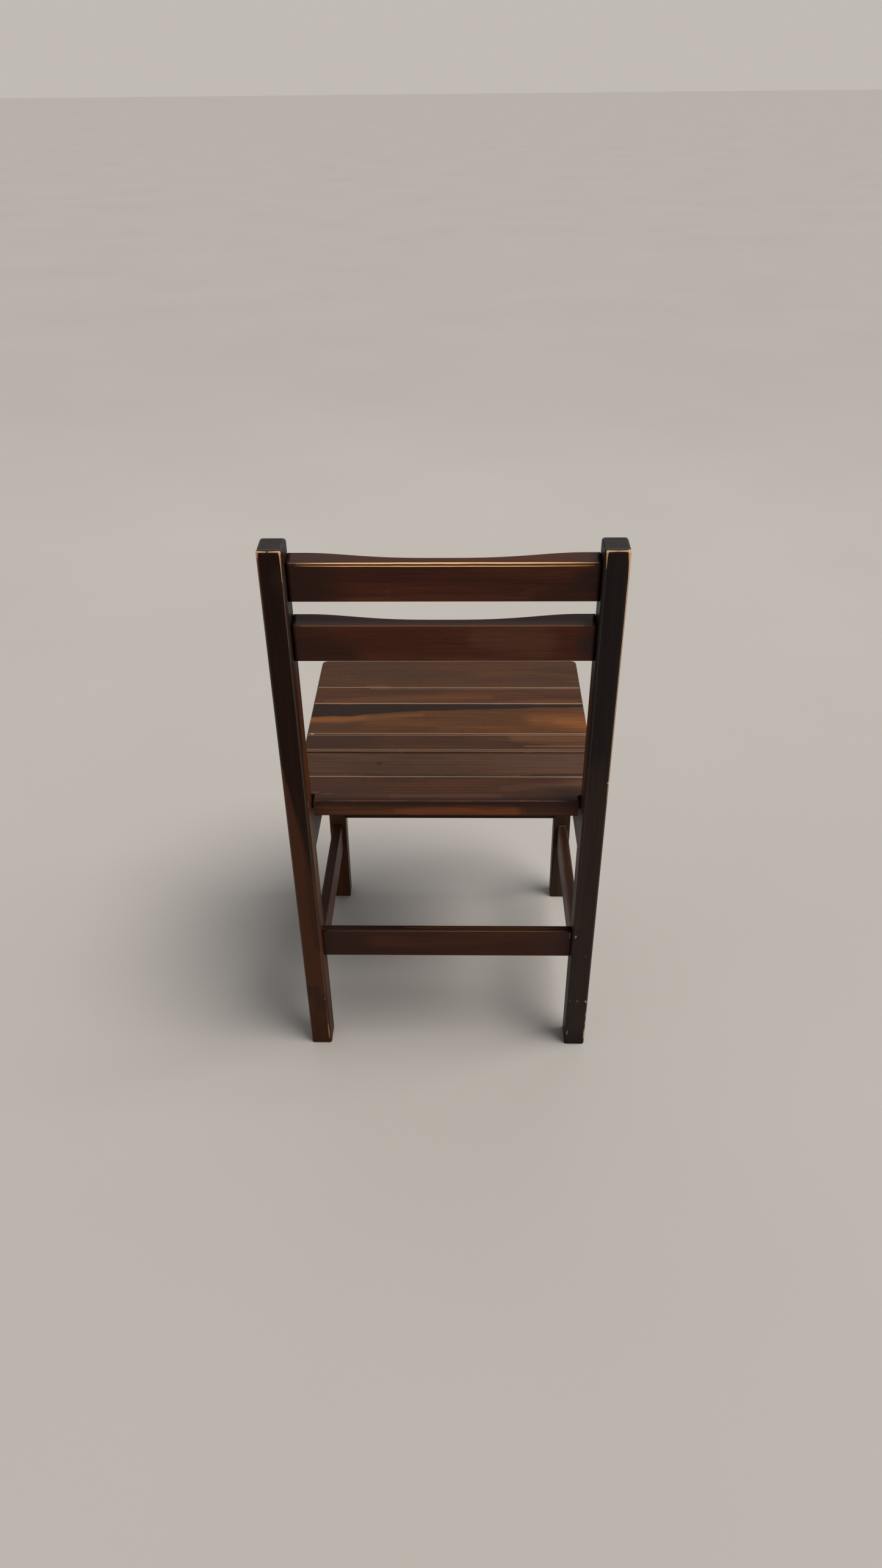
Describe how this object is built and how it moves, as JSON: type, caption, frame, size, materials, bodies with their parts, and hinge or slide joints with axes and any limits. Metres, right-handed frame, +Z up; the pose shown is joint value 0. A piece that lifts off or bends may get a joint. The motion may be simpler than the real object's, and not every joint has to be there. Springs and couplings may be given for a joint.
{
  "type": "slat back side chair",
  "caption": "Rigid wooden side chair with raked one-piece rear posts, hollowed back slats, a boarded seat, aprons and low stretchers.",
  "frame": {"origin": "on the floor, under the middle of the chair's outer box", "axes": "+Z up, the sitter faces -Y, +X is the sitter's left"},
  "size_m": [0.414, 0.4587, 0.8134],
  "materials": {
    "post_wood": "dark walnut stain under satin lacquer, worn pale along the arrises",
    "slat_wood": "reddish dark walnut stain under satin lacquer",
    "seat_wood": "brown walnut stain with dark streaks, satin lacquer rubbed thin",
    "raw_wood": "bare sawn hardwood",
    "screw_steel": "zinc plated"
  },
  "bodies": {
    "root": {"post_left": "post_wood", "post_right": "post_wood", "front_leg_left": "post_wood", "front_leg_right": "post_wood", "top_slat": "slat_wood", "lower_slat": "slat_wood", "seat_board_1": "seat_wood", "seat_board_2": "seat_wood", "seat_board_3": "seat_wood", "seat_board_4": "seat_wood", "seat_board_5": "seat_wood", "seat_board_6": "seat_wood", "side_apron_left": "post_wood", "side_apron_right": "post_wood", "front_apron": "post_wood", "rear_bearer": "raw_wood", "side_stretcher_left": "post_wood", "side_stretcher_right": "post_wood", "front_stretcher": "post_wood", "rear_stretcher": "slat_wood", "seat_cleat_left": "raw_wood", "seat_cleat_right": "raw_wood", "corner_block_left": "raw_wood", "corner_block_right": "raw_wood", "seat_screws": "screw_steel", "block_screws": "screw_steel"}
  },
  "joints": []
}
